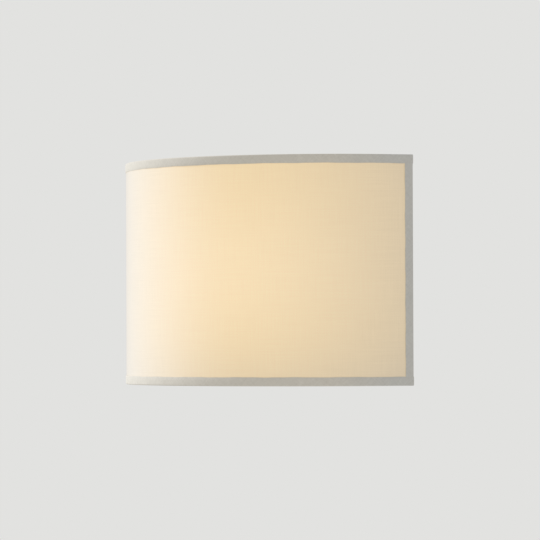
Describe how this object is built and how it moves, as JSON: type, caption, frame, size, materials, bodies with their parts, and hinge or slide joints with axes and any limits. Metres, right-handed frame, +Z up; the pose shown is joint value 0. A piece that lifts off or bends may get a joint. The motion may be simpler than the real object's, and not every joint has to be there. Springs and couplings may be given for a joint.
{
  "type": "fabric shade wall light",
  "caption": "Half-round fabric shade on a D-shaped wire frame, held by thumbscrews to a wall plate with an upright lampholder and a ball bulb.",
  "frame": {"origin": "on the wall face of the back plate, at the middle of the shade's width and height", "axes": "+X to the right along the wall, +Y into the wall, +Z up; the shade bulges towards -Y"},
  "size_m": [0.301, 0.1075, 0.18],
  "materials": {
    "woven_fabric": "fine plain weave, off-white, lets lamp light through",
    "translucent_liner": "smooth translucent sheet",
    "bias_tape": "folded woven tape, opaque, slightly cooler than the cover",
    "coated_wire": "white powder coat",
    "white_enamel": "white powder coat",
    "nickel_plate": "bright nickel plate",
    "zinc_plate": "zinc-plated steel",
    "brass": "bare brass",
    "tinned_copper": "tinned copper",
    "black_rubber": "moulded rubber",
    "holder_plastic": "moulded heat-resistant plastic, white",
    "steatite": "unglazed steatite",
    "dark_glass": "black glass insulator",
    "bulb_plastic": "white moulded lamp body",
    "opal_globe": "opal globe, lit warm white",
    "terminal_nylon": "natural moulded nylon",
    "brown_silicone": "brown silicone insulation",
    "blue_silicone": "blue silicone insulation",
    "green_yellow_silicone": "green and yellow silicone insulation",
    "glass_sleeve": "woven glass-fibre sleeve"
  },
  "bodies": {
    "fixture": {"back_plate": "white_enamel", "cable_bush": "black_rubber", "holder_bracket": "white_enamel", "bracket_screws": "zinc_plate", "lampholder_base": "holder_plastic", "lampholder_insert": "steatite", "lampholder_thread_shell": "brass", "lampholder_centre_contact": "brass", "lampholder_body": "holder_plastic", "lampholder_screws": "zinc_plate", "terminal_block": "terminal_nylon", "terminal_barrels": "brass", "terminal_screws": "zinc_plate", "terminal_block_screws": "zinc_plate", "live_wire": "brown_silicone", "neutral_wire": "blue_silicone", "wire_sleeve": "glass_sleeve", "earth_wire": "green_yellow_silicone", "earth_ring_terminal": "tinned_copper", "earth_screw": "zinc_plate"},
    "bulb": {"bulb_contact": "brass", "bulb_insulator": "dark_glass", "bulb_cap": "nickel_plate", "bulb_body": "bulb_plastic", "bulb_globe": "opal_globe"},
    "shade": {"shade_fabric": "woven_fabric", "shade_liner": "translucent_liner", "edge_tape_top": "bias_tape", "edge_tape_bottom": "bias_tape", "edge_tape_right": "bias_tape", "edge_tape_left": "bias_tape", "frame_ring_top": "coated_wire", "frame_ring_bottom": "coated_wire", "frame_upright_right": "coated_wire", "frame_upright_left": "coated_wire", "fixing_strip_right": "coated_wire", "fixing_strip_left": "coated_wire"},
    "thumbscrew_right": {"thumbscrew_right": "nickel_plate"},
    "thumbscrew_left": {"thumbscrew_left": "nickel_plate"}
  },
  "joints": [
    {"name": "shade_pull_off", "type": "slide", "parent": "fixture", "child": "shade", "axis": [0, -1, 0], "range_m": [0, 0.12]},
    {"name": "bulb_lift_out", "type": "slide", "parent": "fixture", "child": "bulb", "axis": [0, 0, 1], "range_m": [0, 0.15]},
    {"name": "thumbscrew_right_turn", "type": "hinge", "parent": "fixture", "child": "thumbscrew_right", "pos_m": [0.046, -0.015, 0], "axis": [1, 0, 0], "continuous": true},
    {"name": "thumbscrew_left_turn", "type": "hinge", "parent": "fixture", "child": "thumbscrew_left", "pos_m": [-0.046, -0.015, 0], "axis": [-1, 0, 0], "continuous": true}
  ]
}
